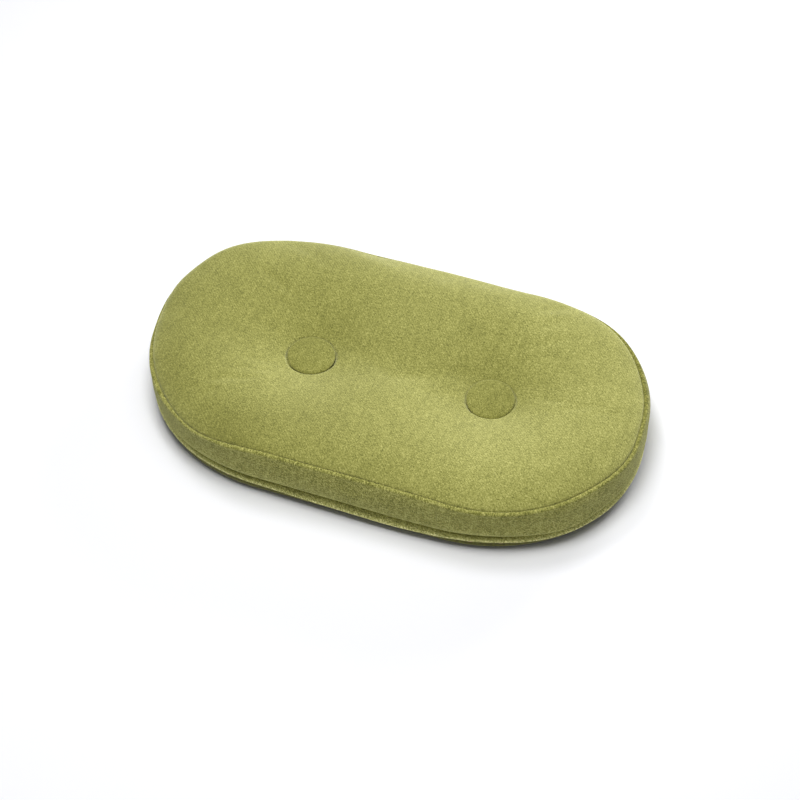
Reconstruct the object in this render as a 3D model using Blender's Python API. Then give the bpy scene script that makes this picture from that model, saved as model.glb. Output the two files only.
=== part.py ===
"""Buttoned balance pad.

A foam cushion with a sewn fabric cover is pulled down over a plywood seat board and tufted
with two fabric-covered buttons. The seat board is screwed to a fabric-wrapped base board on
four low rubber feet, and the two rounded, fabric-covered edges leave a deep groove all round.

Metres, +Z up. The origin is on the floor under the middle of the pad, and +X is its length.
"""

import math

import bmesh
import bpy
from mathutils import Matrix, Vector
from mathutils.geometry import delaunay_2d_cdt

# Plan of the pad: two straight sides joined by half ellipses.
LENGTH = 0.420
WIDTH = 0.250
STRAIGHT_HALF = 0.078
END_STEPS = 16
SIDE_STEPS = 6
BAND_STEPS = 4

# Stack of layers, from the floor up. Touching pieces keep a small gap.
GAP = 0.0003
FABRIC = 0.0015
DUST_COVER_BOTTOM = 0.0025
DUST_COVER_THICKNESS = 0.0005
BASE_PLY = 0.010
SEAT_PLY = 0.009
SEAM_HEIGHT = 0.0505

# Cushion: the crown of the top panel, its trench and the dimples that the buttons pull into it.
SEAM_INSET = 0.0032
CROWN_RISE = 0.0079
CROWN_RUN = 0.087
CROWN_POWER = 4.2
TRENCH_DEPTH = 0.006
TRENCH_WIDTH = 0.0163
TRENCH_FADE = 0.120
TRENCH_EDGE = 0.040
TUFTS = {"left": (-0.0735, -0.0035), "right": (0.0795, 0.002)}
TUFT_FLOOR = 0.0375
TUFT_FLAT = 0.021
TUFT_WALL = 0.026
TUFT_RIM = 0.0432
TUFT_REACH = 0.148
TUFT_POWER = 3.2
FOAM_SHARE = 0.6
TUFT_STEPS = 14
ALLOWANCE = 0.005

# Side band and base wrap: how they round their boards' edges and how far they turn under.
BAND_ROUND = 0.006
WRAP_INSET = 0.003
WRAP_TOP_ROUND = 0.004
WRAP_BOTTOM_ROUND = 0.005
MARGIN = 0.026

# Buttons, and the twine that ties them down to an anchor under the seat board.
BUTTON_RADIUS = 0.020
BUTTON_HEIGHT = 0.0057
BUTTON_CLOTH = 0.0010
BUTTON_SHEET = 0.0005
BUTTON_BACK_RADIUS = 0.0138
EYE_RADIUS = 0.0024
EYE_DROP = 0.0029
EYE_WIRE = 0.0005
TWINE_RADIUS = 0.0006
TWINE_SPREAD = 0.0013
TWINE_HOLE = 0.003
ANCHOR_RADIUS = 0.011

# Feet, and the screws that hold them and both boards together.
FOOT_PLACES = [(0.135, 0.066), (-0.135, 0.066), (-0.135, -0.066), (0.135, -0.066)]
FOOT_RADIUS = 0.014
FOOT_SINK = 0.002
SCREW_RADIUS = 0.003
SCREW_HEAD_RADIUS = 0.0055
SCREW_CLEARANCE = 0.0003
WASHER_RADIUS = 0.007
TEE_NUT_RADIUS = 0.0095
TEE_NUT_BARREL = 0.004

# Staples of the dust cover.
STAPLE_COUNT = 16
STAPLE_INSET = 0.017
STAPLE_WIDTH = 0.010
STAPLE_WIRE = 0.0005
STAPLE_DEPTH = 0.006

# Heights and insets that follow from the dimensions above.
END_REACH = LENGTH / 2 - STRAIGHT_HALF
DUST_COVER_TOP = DUST_COVER_BOTTOM + DUST_COVER_THICKNESS
WRAP_BOTTOM = DUST_COVER_TOP + GAP
BASE_BOTTOM = WRAP_BOTTOM + FABRIC + GAP
BASE_TOP = BASE_BOTTOM + BASE_PLY
WRAP_TOP = BASE_TOP + GAP + FABRIC
BAND_BOTTOM = WRAP_TOP + GAP
SEAT_BOTTOM = BAND_BOTTOM + FABRIC + GAP
SEAT_TOP = SEAT_BOTTOM + SEAT_PLY
FOAM_BOTTOM = SEAT_TOP + GAP
LINING = FABRIC + GAP
FOAM_INSET = LINING + 0.0003
FOAM_RIM_INSET = FOAM_INSET + 0.0020
ALLOWANCE_INSET = SEAM_INSET + LINING + 0.0001
PADDING_INSET = ALLOWANCE_INSET + LINING + 0.0002
BUTTON_BOTTOM = TUFT_FLOOR + GAP
BUTTON_TOP = BUTTON_BOTTOM + BUTTON_HEIGHT
EYE_TOP = BUTTON_BOTTOM + 0.0005
ANCHOR_TOP = SEAT_BOTTOM - GAP
ANCHOR_BOTTOM = ANCHOR_TOP - 0.002
FOOT_TOP = BASE_BOTTOM + FOOT_SINK - GAP


# ---------------------------------------------------------------- plan and sections


def outline(inset):
    """Points round the pad's plan, anticlockwise, this far inside its widest line."""
    reach = END_REACH - inset
    half_width = WIDTH / 2 - inset
    points = []
    for side in (1, -1):
        for step in range(END_STEPS + 1):
            angle = math.pi * (step / END_STEPS - 0.5)
            x = side * (STRAIGHT_HALF + reach * math.cos(angle))
            points.append((x, side * half_width * math.sin(angle)))
        for step in range(1, SIDE_STEPS):
            points.append((side * STRAIGHT_HALF * (1 - 2 * step / SIDE_STEPS), side * half_width))
    return points


def edge_distance(x, y):
    """How far inside the widest line a point of the plan lies."""
    past = max(abs(x) - STRAIGHT_HALF, 0)
    share = math.hypot(past / END_REACH, y / (WIDTH / 2))
    if share < 1e-6:
        return WIDTH / 2
    return math.hypot(past, y) * (1 / share - 1)


def spaced(inset, count):
    """Places spread evenly round the plan, as (x, y, direction of the edge)."""
    corners = [Vector(point) for point in outline(inset)]
    runs = list(zip(corners, corners[1:] + corners[:1]))
    step = sum((end - start).length for start, end in runs) / count
    places = []
    ahead = step / 2
    for start, end in runs:
        run = end - start
        while ahead < run.length:
            spot = start + run.normalized() * ahead
            places.append((spot.x, spot.y, math.atan2(run.y, run.x)))
            ahead += step
        ahead -= run.length
    return places


def quarter(centre, radius, start, steps=2):
    """A quarter turn in section as (inset, height) points, from the angle start."""
    turns = [math.radians(start + 90 * step / steps) for step in range(steps + 1)]
    return [(centre[0] - radius * math.cos(t), centre[1] + radius * math.sin(t)) for t in turns]


def band_section(depth):
    """The side band's section from its seam down and under, this far inside its outer face."""
    turn = BAND_BOTTOM + BAND_ROUND
    side = []
    for step in range(BAND_STEPS):
        height = SEAM_HEIGHT + (turn - SEAM_HEIGHT) * step / BAND_STEPS
        bulge = (height - turn) / (SEAM_HEIGHT - turn)
        side.append((SEAM_INSET * bulge**2.5 + depth, height))
    turned = quarter((BAND_ROUND, turn), BAND_ROUND - depth, 0, steps=3)
    return side + [(inset, 2 * turn - height) for inset, height in turned]


def wrap_section(depth):
    """The base wrap's section from top to bottom, this far inside its outer face."""
    top_centre = (WRAP_INSET + WRAP_TOP_ROUND, WRAP_TOP - WRAP_TOP_ROUND)
    bottom_centre = (WRAP_INSET + WRAP_BOTTOM_ROUND, WRAP_BOTTOM + WRAP_BOTTOM_ROUND)
    top = quarter(top_centre, WRAP_TOP_ROUND - depth, 0)[::-1]
    return top + quarter(bottom_centre, WRAP_BOTTOM_ROUND - depth, -90)[::-1]


# ---------------------------------------------------------------- heights of the cushion


def tuft_distance(x, y):
    return min(math.hypot(x - tuft_x, y - tuft_y) for tuft_x, tuft_y in TUFTS.values())


def ease(away, near, far):
    """1 nearer than one distance, falling evenly to 0 at the other."""
    return 1 - min(max((away - near) / (far - near), 0), 1)


def trench(x, y):
    """How far the cover sinks along the line through both buttons."""
    (left_x, left_y), (right_x, right_y) = TUFTS["left"], TUFTS["right"]
    share = (x - left_x) / (right_x - left_x)
    off_line = y - left_y - share * (right_y - left_y)
    past = max(abs(share - 0.5) - 0.5, 0) * (right_x - left_x)
    fade = ease(past, 0, TRENCH_FADE) ** 2 * (1 - ease(edge_distance(x, y), 0, TRENCH_EDGE))
    return TRENCH_DEPTH * fade * math.exp(-((off_line / TRENCH_WIDTH) ** 2) / 2)


def crown(x, y):
    """Height of the top panel's outer face."""
    slope = ease(edge_distance(x, y) - SEAM_INSET, 0, CROWN_RUN)
    height = SEAM_HEIGHT + CROWN_RISE * (1 - slope**CROWN_POWER) - trench(x, y)
    for tuft_x, tuft_y in TUFTS.values():
        away = math.hypot(x - tuft_x, y - tuft_y)
        height += (TUFT_RIM - height) * ease(away, TUFT_FLAT, TUFT_REACH) ** TUFT_POWER
        height += (TUFT_FLOOR - height) * ease(away, TUFT_FLAT, TUFT_WALL)
    return height


def foam_top(x, y):
    """The foam takes a fixed share of the height between its board and the crown."""
    return FOAM_BOTTOM + FOAM_SHARE * (crown(x, y) - FOAM_BOTTOM)


def padding_top(x, y):
    """The wadding lies right under the top panel, whose slopes take a little more height."""
    return crown(x, y) - 1.6 * FABRIC - GAP


def padding_bottom(x, y):
    return foam_top(x, y) + GAP


# ---------------------------------------------------------------- mesh helpers


def material(name, colour, roughness, metallic=0.0):
    made = bpy.data.materials.get(name)
    if made is None:
        made = bpy.data.materials.new(name)
        made.use_nodes = True
        shader = made.node_tree.nodes["Principled BSDF"]
        shader.inputs["Base Color"].default_value = (*colour, 1)
        shader.inputs["Roughness"].default_value = roughness
        shader.inputs["Metallic"].default_value = metallic
    return made


def add_object(name, mesh_data, look, smooth=True):
    """Turn a bmesh into a named object with its own material."""
    bmesh.ops.recalc_face_normals(mesh_data, faces=mesh_data.faces)
    mesh = bpy.data.meshes.new(name)
    mesh_data.to_mesh(mesh)
    mesh_data.free()
    if smooth:
        mesh.shade_smooth()
        mesh.set_sharp_from_angle(angle=math.radians(35))
    mesh.materials.append(look)
    made = bpy.data.objects.new(name, mesh)
    bpy.context.collection.objects.link(made)
    return made


def add_ring(mesh_data, points):
    return [mesh_data.verts.new(point) for point in points]


def bridge(mesh_data, first, second):
    """Quads between two rings of as many points."""
    for i in range(len(first)):
        j = (i + 1) % len(first)
        mesh_data.faces.new((first[i], first[j], second[j], second[i]))


def stadium_rings(mesh_data, section):
    rings = []
    for inset, height in section:
        rings.append(add_ring(mesh_data, [(x, y, height) for x, y in outline(inset)]))
    return rings


def board(name, section, look):
    """A solid plate with the pad's plan, its edge following a section from top to bottom."""
    mesh_data = bmesh.new()
    rings = stadium_rings(mesh_data, section)
    for first, second in zip(rings, rings[1:]):
        bridge(mesh_data, first, second)
    mesh_data.faces.new(rings[0])
    mesh_data.faces.new(rings[-1])
    return add_object(name, mesh_data, look)


def edge_wrap(name, outer, inner, look):
    """A fabric strip right round the pad, between an outer and an inner section."""
    mesh_data = bmesh.new()
    rings = stadium_rings(mesh_data, outer + inner[::-1])
    for first, second in zip(rings, rings[1:] + rings[:1]):
        bridge(mesh_data, first, second)
    return add_object(name, mesh_data, look)


def quilt_plan(inset):
    """Flat points and triangles of a cushion layer, finer at its edge and round each tuft."""
    rim = outline(inset)
    edge_row = inset + 0.010
    points = rim + outline(edge_row)
    tuft_rows = [TUFT_FLAT, TUFT_WALL, 0.036, 0.048, 0.062]
    for tuft_x, tuft_y in TUFTS.values():
        points.append((tuft_x, tuft_y))
        for row, radius in enumerate(tuft_rows):
            for step in range(TUFT_STEPS):
                angle = math.tau * (step + row % 2 / 2) / TUFT_STEPS
                points.append((tuft_x + radius * math.cos(angle), tuft_y + radius * math.sin(angle)))
    spacing = 0.022
    for row in range(-6, 7):
        for column in range(-12, 13):
            x = spacing * (column + row % 2 / 2)
            y = spacing * row
            past_tufts = tuft_distance(x, y) > tuft_rows[-1] + spacing / 2
            if past_tufts and edge_distance(x, y) > edge_row + spacing / 2:
                points.append((x, y))
    rim_face = [list(range(len(rim)))]
    corners, _, triangles, *_ = delaunay_2d_cdt([Vector(spot) for spot in points], [], rim_face, 1, 1e-7)
    return [tuple(corner) for corner in corners], triangles


def quilt_layer(name, inset, top, bottom, look):
    """A layer of the cushion between two heights that vary over the plan."""
    flat_points, triangles = quilt_plan(inset)
    mesh_data = bmesh.new()
    upper = add_ring(mesh_data, [(x, y, top(x, y)) for x, y in flat_points])
    lower = add_ring(mesh_data, [(x, y, bottom(x, y)) for x, y in flat_points])
    for triangle in triangles:
        mesh_data.faces.new([upper[i] for i in triangle])
        mesh_data.faces.new([lower[i] for i in reversed(triangle)])
    mesh_data.verts.index_update()
    for edge in [edge for edge in mesh_data.edges if edge.is_boundary]:
        first, second = (corner.index for corner in edge.verts)
        if max(first, second) < len(upper):
            mesh_data.faces.new((upper[first], upper[second], lower[second], lower[first]))
    return add_object(name, mesh_data, look)


def quilt_cap(name, top, section, look, capped):
    """A cushion layer's top face with walls down a section, closed below or left as a skin."""
    flat_points, triangles = quilt_plan(section[0][0])
    mesh_data = bmesh.new()
    upper = add_ring(mesh_data, [(x, y, top(x, y)) for x, y in flat_points])
    for triangle in triangles:
        mesh_data.faces.new([upper[i] for i in triangle])
    rim = upper[: len(outline(0))]
    rings = [rim] + stadium_rings(mesh_data, section[1:])
    for first, second in zip(rings, rings[1:]):
        bridge(mesh_data, first, second)
    if capped:
        mesh_data.faces.new(rings[-1])
    return add_object(name, mesh_data, look)


def turned(name, profile, look, place, closed=False, steps=16):
    """A body turned round a vertical line, from (radius, height) points; closed leaves a bore."""
    mesh_data = bmesh.new()
    rings = []
    for radius, height in profile:
        if radius == 0:
            rings.append([mesh_data.verts.new((0, 0, height))])
            continue
        turns = [math.tau * step / steps for step in range(steps)]
        rings.append(
            add_ring(mesh_data, [(radius * math.cos(t), radius * math.sin(t), height) for t in turns])
        )
    pairs = list(zip(rings, rings[1:] + rings[:1])) if closed else list(zip(rings, rings[1:]))
    for first, second in pairs:
        if len(first) == len(second):
            bridge(mesh_data, first, second)
            continue
        pole, ring = (first, second) if len(first) == 1 else (second, first)
        for i in range(steps):
            mesh_data.faces.new((pole[0], ring[i], ring[(i + 1) % steps]))
    made = add_object(name, mesh_data, look)
    made.location = (*place, 0)
    return made


def tube(name, path, radius, look, place, sides=8):
    """A round wire or thread along points, with flat ends."""
    mesh_data = bmesh.new()
    points = [Vector(point) for point in path]
    across = Vector((0, 1, 0)) if abs((points[1] - points[0]).normalized().y) < 0.5 else Vector((1, 0, 0))
    rings = []
    for i, point in enumerate(points):
        along = (points[min(i + 1, len(points) - 1)] - points[max(i - 1, 0)]).normalized()
        across = (across - along * across.dot(along)).normalized()
        other = along.cross(across)
        turns = [math.tau * step / sides for step in range(sides)]
        circle = [point + radius * (across * math.cos(t) + other * math.sin(t)) for t in turns]
        rings.append(add_ring(mesh_data, circle))
    for first, second in zip(rings, rings[1:]):
        bridge(mesh_data, first, second)
    mesh_data.faces.new(rings[0])
    mesh_data.faces.new(rings[-1])
    made = add_object(name, mesh_data, look)
    made.location = (*place, 0)
    return made


def as_cutter(tool):
    """Hide an object that only cuts, or only lends its shape to another."""
    tool.hide_render = True
    tool.display_type = "WIRE"
    return tool


def combine(target, tool, operation):
    step = target.modifiers.new(tool.name, "BOOLEAN")
    step.operation = operation
    step.solver = "EXACT"
    step.object = as_cutter(tool)


def drill(target, label, holes, sides=12):
    """Cut upright round holes that don't meet, given as (x, y, radius, bottom, top)."""
    mesh_data = bmesh.new()
    for x, y, radius, bottom, top in holes:
        middle = Matrix.Translation((x, y, (bottom + top) / 2))
        bmesh.ops.create_cone(
            mesh_data,
            cap_ends=True,
            segments=sides,
            radius1=radius,
            radius2=radius,
            depth=top - bottom,
            matrix=middle,
        )
    tool = add_object(f"{target.name}_{label}", mesh_data, STEEL, smooth=False)
    combine(target, tool, "DIFFERENCE")


def staple_slots(target, bottom, top):
    """Cut the places of the dust cover's staples."""
    mesh_data = bmesh.new()
    width = STAPLE_WIDTH + 2 * GAP
    for x, y, direction in spaced(STAPLE_INSET, STAPLE_COUNT):
        place = Matrix.Translation((x, y, (bottom + top) / 2)) @ Matrix.Rotation(direction, 4, "Z")
        size = Matrix.Diagonal((width, 2 * STAPLE_WIRE + 2 * GAP, top - bottom, 1))
        bmesh.ops.create_cube(mesh_data, size=1, matrix=place @ size)
    tool = add_object(target.name + "_slots", mesh_data, STEEL, smooth=False)
    combine(target, tool, "DIFFERENCE")


# ---------------------------------------------------------------- cushion


def add_top_panel():
    """Fabric top of the cover, with its seam allowance turned down inside the band."""
    section = [
        (ALLOWANCE_INSET + 0.0012, 0),
        (ALLOWANCE_INSET, SEAM_HEIGHT),
        (ALLOWANCE_INSET, SEAM_HEIGHT - ALLOWANCE),
    ]
    panel = quilt_cap("top_panel", crown, section, COVER_FABRIC, capped=False)
    skin = panel.modifiers.new("Fabric", "SOLIDIFY")
    skin.thickness = FABRIC
    skin.offset = -1
    holes = [(x, y, TWINE_HOLE, TUFT_FLOOR - 0.01, TUFT_FLOOR + 0.01) for x, y in TUFTS.values()]
    drill(panel, "twine_holes", holes)


def add_side_band():
    """Fabric side of the cover, pulled under the seat board's edge."""
    margin = MARGIN + BAND_ROUND
    outer = band_section(0) + [(margin, BAND_BOTTOM)]
    inner = band_section(FABRIC) + [(margin, BAND_BOTTOM + FABRIC)]
    edge_wrap("side_band", outer, inner, COVER_FABRIC)


def add_padding_layer():
    """Polyester wadding between the foam and the top panel."""
    layer = quilt_layer("padding_layer", PADDING_INSET, padding_top, padding_bottom, WADDING)
    holes = [(x, y, TWINE_HOLE, FOAM_BOTTOM, SEAM_HEIGHT) for x, y in TUFTS.values()]
    drill(layer, "twine_holes", holes)


def add_foam_core():
    """Foam block on the seat board, cut a little lower than the seam at its edge."""
    rim_height = foam_top(STRAIGHT_HALF, WIDTH / 2 - FOAM_RIM_INSET)
    side = [spot for spot in band_section(FOAM_INSET) if FOAM_BOTTOM < spot[1] < rim_height - 0.001]
    section = [(FOAM_RIM_INSET, rim_height)] + side + [(side[-1][0], FOAM_BOTTOM)]
    foam = quilt_cap("foam_core", foam_top, section, FOAM, capped=True)
    below = FOAM_BOTTOM - 0.001
    holes = [(x, y, TWINE_HOLE, below, SEAM_HEIGHT) for x, y in TUFTS.values()]
    pocket_top = FOAM_BOTTOM + 0.0012 + 2 * GAP
    holes += [(x, y, TEE_NUT_RADIUS + GAP, below, pocket_top) for x, y in FOOT_PLACES]
    drill(foam, "holes", holes)


def button_dome():
    """The cloth's outer face, from the crown of a button down to its rim."""
    shoulder = BUTTON_BOTTOM + 0.0025
    dome = [(0, BUTTON_TOP)]
    for step in range(1, 5):
        angle = math.radians(90 * step / 5)
        height = shoulder + (BUTTON_TOP - shoulder) * math.cos(angle)
        dome.append((BUTTON_RADIUS * math.sin(angle), height))
    return dome


def add_button_cover(side, place):
    """Fabric over the button's shell, gathered in under its rim."""
    dome = button_dome()
    rim = [
        (BUTTON_RADIUS, BUTTON_BOTTOM + 0.0019),
        (BUTTON_RADIUS - 0.0006, BUTTON_BOTTOM + 0.0005),
        (BUTTON_RADIUS - 0.0018, BUTTON_BOTTOM),
    ]
    hem = [
        (BUTTON_BACK_RADIUS + 0.0007, BUTTON_BOTTOM),
        (BUTTON_BACK_RADIUS + 0.0007, BUTTON_BOTTOM + BUTTON_CLOTH),
        (BUTTON_RADIUS - 0.0022, BUTTON_BOTTOM + BUTTON_CLOTH),
    ]
    lining = [(radius * 0.945, height - BUTTON_CLOTH) for radius, height in dome[::-1]]
    turned(f"button_cover_{side}", dome + rim + hem + lining, COVER_FABRIC, place)


def add_button_shell(side, place):
    """Pressed metal dome that the cloth is stretched over."""
    drop = BUTTON_CLOTH + GAP
    outer = [(radius * 0.92, height - drop) for radius, height in button_dome()]
    inner = [(radius * 0.96, height - BUTTON_SHEET) for radius, height in outer]
    turned(f"button_shell_{side}", outer + inner[::-1], ALUMINIUM, place)


def add_button_back(side, place):
    """Metal back plate with the wire eye that the twine goes through."""
    top = EYE_TOP + 0.0005
    bottom = EYE_TOP - 0.0002
    profile = [(0, top), (BUTTON_BACK_RADIUS, top), (BUTTON_BACK_RADIUS, bottom), (0, bottom)]
    back = turned(f"button_back_{side}", profile, STEEL, place)
    bend = [math.radians(180 + 180 * step / 8) for step in range(9)]
    path = [(EYE_RADIUS * math.cos(t), 0, EYE_TOP + EYE_DROP * math.sin(t)) for t in bend]
    combine(back, tube(f"button_eye_{side}", path, EYE_WIRE, STEEL, place), "UNION")


def add_twine(side, place):
    """Twine looped through the button's eye and knotted under its anchor."""
    turn = EYE_TOP - EYE_DROP + EYE_WIRE + TWINE_RADIUS + 0.0002 - TWINE_SPREAD
    bend = [math.pi * step / 6 for step in range(7)]
    loop = [(0, -TWINE_SPREAD * math.cos(t), turn + TWINE_SPREAD * math.sin(t)) for t in bend]
    knot_height = ANCHOR_BOTTOM - 0.0012
    path = [(0, -TWINE_SPREAD, knot_height)] + loop + [(0, TWINE_SPREAD, knot_height)]
    twine = tube(f"tufting_twine_{side}", path, TWINE_RADIUS, TWINE, place, sides=6)
    profile = [(0, -0.0009), (0.0016, -0.0007), (0.0024, 0), (0.0016, 0.0007), (0, 0.0009)]
    profile = [(radius, knot_height + height) for radius, height in profile]
    knot = turned(f"twine_knot_{side}", profile, TWINE, place, steps=10)
    combine(twine, knot, "UNION")


def add_anchor(side, place):
    """Nylon washer under the seat board, which the twine pulls against."""
    edge = 0.0004
    profile = [
        (0, ANCHOR_TOP),
        (ANCHOR_RADIUS - edge, ANCHOR_TOP),
        (ANCHOR_RADIUS, ANCHOR_TOP - edge),
        (ANCHOR_RADIUS, ANCHOR_BOTTOM),
        (0, ANCHOR_BOTTOM),
    ]
    anchor = turned(f"twine_anchor_{side}", profile, NYLON, place)
    x, y = place
    hole = (TWINE_RADIUS + GAP, ANCHOR_BOTTOM - 0.001, ANCHOR_TOP + 0.001)
    holes = [(x, y + spread, *hole) for spread in (-TWINE_SPREAD, TWINE_SPREAD)]
    drill(anchor, "strand_holes", holes, sides=7)


# ---------------------------------------------------------------- boards and base


def add_seat_board():
    """Plywood under the foam, with holes for the twine and the tee nuts."""
    edge = [(inset, height) for inset, height in band_section(LINING) if height < SEAT_TOP - 0.001]
    side = (edge[0][0], SEAT_TOP)
    board_edge = [side] + edge[:-1] + [(edge[-1][0], SEAT_BOTTOM)]
    plate = board("seat_board", board_edge, PLYWOOD)
    below = SEAT_BOTTOM - 0.001
    above = SEAT_TOP + 0.001
    holes = [(x, y, TWINE_HOLE, below, above) for x, y in TUFTS.values()]
    holes += [(x, y, TEE_NUT_BARREL + GAP, below, above) for x, y in FOOT_PLACES]
    drill(plate, "holes", holes)


def add_base_board():
    """Plywood base, with sinkings for the feet and for the knots of the twine."""
    plate = board("base_board", wrap_section(LINING), PLYWOOD)
    below = BASE_BOTTOM - 0.001
    above = BASE_TOP + 0.001
    knots = [(x, y, 0.007, BASE_TOP - 0.004, above) for x, y in TUFTS.values()]
    screws = [(x, y, SCREW_RADIUS + SCREW_CLEARANCE, below, above) for x, y in FOOT_PLACES]
    feet = [(x, y, FOOT_RADIUS + GAP, below, BASE_BOTTOM + FOOT_SINK) for x, y in FOOT_PLACES]
    drill(plate, "holes", knots + screws)
    drill(plate, "foot_sinkings", feet, sides=16)
    staple_slots(plate, below, BASE_BOTTOM + STAPLE_DEPTH)


def add_base_wrap():
    """The same fabric round the base board, turned in above and below it."""
    outer = [(MARGIN, WRAP_TOP)] + wrap_section(0) + [(MARGIN, WRAP_BOTTOM)]
    inner = [(MARGIN, WRAP_TOP - FABRIC)] + wrap_section(FABRIC) + [(MARGIN, WRAP_BOTTOM + FABRIC)]
    wrap = edge_wrap("base_wrap", outer, inner, COVER_FABRIC)
    staple_slots(wrap, WRAP_BOTTOM - 0.001, WRAP_BOTTOM + FABRIC + 0.0002)


def add_dust_cover():
    """Thin non-woven cloth that closes the underside inside the wrap's margin."""
    cloth = board("dust_cover", [(0.012, DUST_COVER_TOP), (0.012, DUST_COVER_BOTTOM)], DUST_CLOTH)
    below = DUST_COVER_BOTTOM - 0.001
    above = DUST_COVER_TOP + 0.0001
    feet = [(x, y, FOOT_RADIUS + GAP, below, above) for x, y in FOOT_PLACES]
    drill(cloth, "foot_holes", feet, sides=16)
    staple_slots(cloth, below, above)


def add_foot(number, place):
    """A rubber foot, its screw and washer, and the tee nut they pull down on the seat board."""
    washer_seat = 0.0037
    bore = SCREW_RADIUS + SCREW_CLEARANCE
    edge = 0.0008
    foot = [
        (bore, FOOT_TOP),
        (FOOT_RADIUS, FOOT_TOP),
        (FOOT_RADIUS, edge),
        (FOOT_RADIUS - edge, 0),
        (WASHER_RADIUS + GAP, 0),
        (WASHER_RADIUS + GAP, washer_seat),
        (bore, washer_seat),
    ]
    turned(f"foot_{number}", foot, RUBBER, place, closed=True)

    washer_top = washer_seat - GAP
    washer_bottom = washer_top - 0.0008
    washer = [
        (bore, washer_top),
        (WASHER_RADIUS, washer_top),
        (WASHER_RADIUS, washer_bottom),
        (bore, washer_bottom),
    ]
    turned(f"foot_washer_{number}", washer, STEEL, place, closed=True, steps=12)

    head_top = washer_bottom - GAP
    head_bottom = 0.0007
    tip = SEAT_TOP - 0.001
    screw = [
        (0, tip),
        (SCREW_RADIUS - 0.0006, tip),
        (SCREW_RADIUS, tip - 0.0006),
        (SCREW_RADIUS, head_top),
        (SCREW_HEAD_RADIUS, head_top),
        (SCREW_HEAD_RADIUS, head_bottom + 0.0005),
        (SCREW_HEAD_RADIUS - 0.0005, head_bottom),
        (0, head_bottom),
    ]
    bolt = turned(f"foot_screw_{number}", screw, STEEL, place, steps=12)
    drill(bolt, "socket", [(*place, 0.0021, head_bottom - 0.001, head_top - 0.0003)], sides=6)

    flange_bottom = SEAT_TOP + GAP
    flange_top = flange_bottom + 0.0012
    nut = [
        (bore, flange_top),
        (TEE_NUT_RADIUS, flange_top),
        (TEE_NUT_RADIUS, flange_bottom),
        (TEE_NUT_BARREL, flange_bottom),
        (TEE_NUT_BARREL, SEAT_BOTTOM + 0.001),
        (bore, SEAT_BOTTOM + 0.001),
    ]
    turned(f"tee_nut_{number}", nut, STEEL, place, closed=True, steps=12)


def add_staple(number, x, y, direction):
    """A staple with its crown under the dust cover and its legs up in the base board."""
    top = DUST_COVER_BOTTOM - GAP
    reach = BASE_BOTTOM + STAPLE_DEPTH - GAP
    half = STAPLE_WIDTH / 2
    wire = 2 * STAPLE_WIRE
    section = [
        (-half, top - wire / 2),
        (half, top - wire / 2),
        (half, reach),
        (half - wire, reach),
        (half - wire, top),
        (wire - half, top),
        (wire - half, reach),
        (-half, reach),
    ]
    mesh_data = bmesh.new()
    near = add_ring(mesh_data, [(across, -wire / 2, height) for across, height in section])
    far = add_ring(mesh_data, [(across, wire / 2, height) for across, height in section])
    bridge(mesh_data, near, far)
    mesh_data.faces.new(near)
    mesh_data.faces.new(far)
    staple = add_object(f"staple_{number:02d}", mesh_data, STEEL, smooth=False)
    staple.location = (x, y, 0)
    staple.rotation_euler.z = direction


# ---------------------------------------------------------------- build

for leftover in list(bpy.data.objects):
    bpy.data.objects.remove(leftover, do_unlink=True)

COVER_FABRIC = material("cover_fabric", (0.32, 0.33, 0.08), 0.9)
FOAM = material("foam", (0.85, 0.80, 0.62), 0.95)
WADDING = material("wadding", (0.92, 0.92, 0.90), 1.0)
PLYWOOD = material("plywood", (0.72, 0.53, 0.32), 0.6)
DUST_CLOTH = material("dust_cloth", (0.03, 0.03, 0.03), 0.9)
STEEL = material("zinc_steel", (0.62, 0.63, 0.65), 0.35, metallic=1.0)
ALUMINIUM = material("aluminium", (0.80, 0.81, 0.82), 0.3, metallic=1.0)
RUBBER = material("rubber", (0.04, 0.04, 0.04), 0.8)
TWINE = material("waxed_twine", (0.78, 0.74, 0.62), 0.7)
NYLON = material("nylon", (0.88, 0.88, 0.85), 0.5)

add_top_panel()
add_side_band()
add_padding_layer()
add_foam_core()
add_seat_board()
add_base_board()
add_base_wrap()
add_dust_cover()
for tuft_side, tuft_place in TUFTS.items():
    add_button_cover(tuft_side, tuft_place)
    add_button_shell(tuft_side, tuft_place)
    add_button_back(tuft_side, tuft_place)
    add_twine(tuft_side, tuft_place)
    add_anchor(tuft_side, tuft_place)
for foot_number, foot_place in enumerate(FOOT_PLACES, start=1):
    add_foot(foot_number, foot_place)
for staple_number, staple_place in enumerate(spaced(STAPLE_INSET, STAPLE_COUNT), start=1):
    add_staple(staple_number, *staple_place)
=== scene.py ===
"""Looks of a buttoned balance pad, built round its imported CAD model.

The cover is stuffed in a short cloth simulation, and mesh code then makes the seam, its puckers,
the filling, the buttons, the base strip and the dust cover round that shape. The hard parts keep
their CAD meshes and get materials. Metres, +Z up, in the CAD model's own frame.
"""

import math

import bmesh
import bpy
import numpy as np
from mathutils import Matrix, Vector
from mathutils.geometry import delaunay_2d_cdt


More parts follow.
